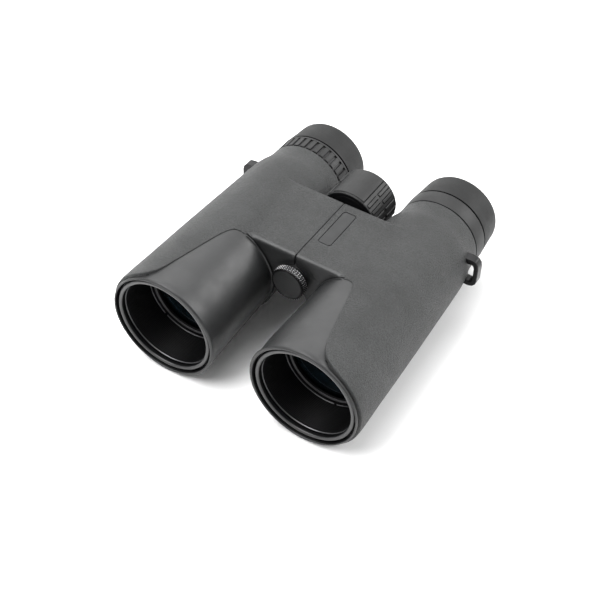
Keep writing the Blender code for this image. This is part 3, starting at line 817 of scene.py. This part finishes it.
def screw_cap():
    """Diamond-knurled cap of the tripod socket with its stud."""
    # Knurl faces above the last radius take the bright metal, a painted highlight.
    around, steps, rings = 38, 5, 17     # diamonds round the cap, grid steps in each
    base, relief, highlight_radius = 8.1, 0.5, 8.3    # radii: bottom of the knurl, its height, bright above
    grid = steps * around
    turns = [2 * math.pi * i / grid for i in range(grid)]
    front = [(0.02, 43.85), (7.3, 43.85), (7.45, 43.95), (7.6, 43.95), (7.75, 43.75),
             (8.0, 43.85), (base, 44.05)]
    loops = [[(r, y)] * grid for r, y in front]
    for k in range(rings):
        y = 44.15 + 0.21 * k
        loops.append([(base + relief * diamond(i / steps, k / steps), y) for i in range(grid)])
    depth = 48.3
    rear = [(8.15, 47.75), (8.0, 48.05), (7.6, depth), (3.3, depth)]
    for _ in range(11):                  # thread of the stud
        rear += [(3.0, depth + 0.1), (2.7, depth + 0.38), (3.0, depth + 0.66)]
        depth += 0.7
    rear += [(2.8, 56.1), (2.4, 56.3), (0.02, 56.3)]
    loops += [[(r, y)] * grid for r, y in rear]
    points = [(r * math.cos(t), y, HINGE_Z + r * math.sin(t))
              for loop in loops for t, (r, y) in zip(turns, loop)]
    faces = loop_faces([grid] * len(loops), True)
    height = [math.hypot(px, pz - HINGE_Z) for px, _, pz in points]
    knurled = range(grid * (len(front) - 1), grid * (len(front) + rings))
    shaded_shoulder = range(grid * 2, knurled.start)
    picked = []
    # Knurl faces above the highlight radius take the bright metal, a painted highlight; lower knurl
    # faces and the shoulder groove take the near-black, painted shade.
    for face in faces:
        if face[0] in knurled:
            picked.append(1 if sum(height[v] for v in face) / len(face) > highlight_radius else 2)
        else:
            picked.append(2 if face[0] in shaded_shoulder else 0)
    make_piece("socket_cap", points, faces, ["cap", "knurl", "inner"], "tripod_cap",
               ["tripod_cap"], 28, face_mats=picked)
    washer = ((3.3, 48.6), (6.6, 48.6), (6.6, 49.9), (3.3, 49.9))
    turned("cap_seal", washer, "washer", "cap_washer", ["cap_washer"], "washer_black", 0.0, HINGE_Z,
           edge=0.3)


def hinge_parts():
    """Hinge tube, slotted for both halves, and the rear shaft."""
    shell = ((8.0, 62.4), (9.0, 62.4), (9.0, 83.8), (8.0, 83.8))
    tube = turned("hinge_sleeve", shell, "body", None, x=0.0, z=HINGE_Z, edge=0.2)
    left = [(0.0, HINGE_Z - 3.0), (12.0, HINGE_Z - 3.0), (12.0, HINGE_Z + 3.0),
            (0.0, HINGE_Z + 3.0)]
    cut(tube, cutter("left_slot", left, 68.0, 78.0))
    turns = [math.radians(a) for a in (158, 174, 190, 206, 222, 238, 254)]
    right = [(0.0, HINGE_Z)] + [(13 * math.cos(a), HINGE_Z + 13 * math.sin(a)) for a in turns]
    cut(tube, cutter("right_slot", right, 68.0, 78.0))
    settle(tube, "left_half", ["hinge_tube"])
    rear = ((2.6, 84.2), (5.7, 84.2), (5.7, 96.2), (2.6, 96.2))
    turned("rear_shaft", rear, "steel", "left_half", ["hinge_shaft_rear"], "hinge_steel", 0.0,
           HINGE_Z, edge=0.3)


def lug(where, side):
    """Strap loop with a window, its edges rounded by a bevel."""
    outline = [(58.2, -7.0), (61.2, -7.3), (63.6, -6.6), (65.0, -5.0), (65.5, -3.0), (65.5, 4.8),
               (65.0, 6.9), (63.6, 8.5), (61.0, 9.0), (57.4, 8.8)]
    inner = [(59.3, -4.2), (61.8, -4.4), (62.8, -3.8), (63.2, -2.6), (63.2, 4.2), (62.8, 5.4),
             (62.0, 6.0), (58.9, 5.8)]
    loop = cutter("strap_loop_" + where, [(side * x, z) for x, z in outline], 105.3, 109.8)
    cut(loop, cutter("slot", [(side * x, z) for x, z in inner], 104.0, 111.0))
    loop.data.materials.clear()
    loop.data.materials.append(MATS["lug"])
    mod = loop.modifiers.new("soft_edges", "BEVEL")
    mod.width = 0.35 * MM
    mod.segments = 3
    mod.limit_method = "ANGLE"
    mod.angle_limit = math.radians(28)
    settle(loop, where + "_half", ["strap_lug_" + where])


def keep_inner_nodes():
    """Finishes for the CAD pieces that stay: the hidden frame, optics and drive."""
    finish = {"barrel": "body", "focus_cell": "alloy", "focus_lens": "glass", "prism_cage": "inner",
              "schmidt_prism": "glass", "roof_prism": "glass", "field_stop": "inner",
              "click_ring": "nylon",
              "hinge_shaft_front": "steel", "tripod_socket": "brass", "focus_spindle": "steel",
              "focus_carriage": "brass"}
    for name, obj in frame["nodes"].items():
        for start, mat in finish.items():
            if name.startswith(start):
                obj.data.materials.clear()
                obj.data.materials.append(MATS[mat])


# ---------------------------------------------------------------- the studio
def studio():
    """Pale floor, white surroundings that are brighter behind, and four soft lamps."""
    floor_mat, nodes, links, shader = node_material("floor_white")
    tone = two_tone(nodes, links, noise(nodes, links, 8, 2.0), (0.92, 0.92, 0.92),
                    (0.94, 0.94, 0.94))
    links.new(tone, shader.inputs["Base Color"])
    shader.inputs["Roughness"].default_value = 0.35
    shader.inputs["Specular IOR Level"].default_value = 0.35
    bm = bmesh.new()
    bmesh.ops.create_grid(bm, x_segments=1, y_segments=1, size=6.0)
    mesh = bpy.data.meshes.new("studio_floor")
    bm.to_mesh(mesh)
    bm.free()
    floor = bpy.data.objects.new("studio_floor", mesh)
    floor.location = (0, 0, -0.0001)
    bpy.context.scene.collection.objects.link(floor)
    mesh.materials.append(floor_mat)

    world = bpy.data.worlds.new("studio_world")
    bpy.context.scene.world = world
    world.use_nodes = True
    nodes, links = world.node_tree.nodes, world.node_tree.links
    coord = nodes.new("ShaderNodeTexCoord")
    parts = nodes.new("ShaderNodeSeparateXYZ")
    ramp = nodes.new("ShaderNodeMapRange")
    ramp.inputs["From Min"].default_value = -0.7
    ramp.inputs["From Max"].default_value = 0.8
    ramp.inputs["To Min"].default_value = 0.32
    ramp.inputs["To Max"].default_value = 1.1
    links.new(coord.outputs["Generated"], parts.inputs["Vector"])
    links.new(parts.outputs["Y"], ramp.inputs["Value"])
    links.new(ramp.outputs["Result"], nodes["Background"].inputs["Strength"])
    nodes["Background"].inputs["Color"].default_value = (1.0, 1.0, 1.0, 1)
    bpy.context.scene.view_settings.view_transform = "Standard"
    lamp("back_left", (-1.05, 1.05, 0.75), 1.2, 5.5)
    lamp("back_right", (1.0, 1.15, 0.95), 1.1, 20.0)
    lamp("overhead", (-0.35, 0.4, 1.4), 1.5, 19.0)
    lamp("front_edge", (-0.45, -0.60, 1.05), 0.9, 17.0)


def lamp(name, place, size, power):
    light = bpy.data.lights.new(name, "AREA")
    light.shape = "DISK"
    light.size = size
    light.energy = power
    obj = bpy.data.objects.new(name, light)
    obj.location = place
    aim = Vector((0, 0, 0.02)) - Vector(place)
    obj.rotation_euler = aim.to_track_quat("-Z", "Y").to_euler()
    bpy.context.scene.collection.objects.link(obj)


def camera():
    """Camera at the viewing angle: turned to the right of the front, looking down."""
    azimuth, elevation, roll = (math.radians(a) for a in (31.268, 45.516, 1.665))
    aim = Vector((3.879, 49.284 + FRONT_Y, -1.938 + AXIS_Z)) * MM
    back = Vector((math.sin(azimuth) * math.cos(elevation),
                   -math.cos(azimuth) * math.cos(elevation), math.sin(elevation)))
    right = (-back).cross(Vector((0, 0, 1))).normalized()
    up = right.cross(-back)
    across = right * math.cos(roll) + up * math.sin(roll)
    above = up * math.cos(roll) - right * math.sin(roll)
    data = bpy.data.cameras.new("camera")
    data.sensor_width = CAMERA_SENSOR
    data.lens = CAMERA_LENS
    data.clip_start = 0.01
    data.clip_end = 30.0
    obj = bpy.data.objects.new("camera", data)
    obj.matrix_world = Matrix((
        (across.x, above.x, back.x, aim.x + back.x * CAMERA_DISTANCE),
        (across.y, above.y, back.y, aim.y + back.y * CAMERA_DISTANCE),
        (across.z, above.z, back.z, aim.z + back.z * CAMERA_DISTANCE),
        (0, 0, 0, 1)))
    bpy.context.scene.collection.objects.link(obj)
    bpy.context.scene.camera = obj


camera()
studio()
for where, side in SIDES.items():
    armour(where, side)
    objective(where, side)
    eyepiece(where, side)
    rear_ring(side)
    lug(where, side)
name_plate()
focus_wheel()
screw_cap()
hinge_parts()
keep_inner_nodes()
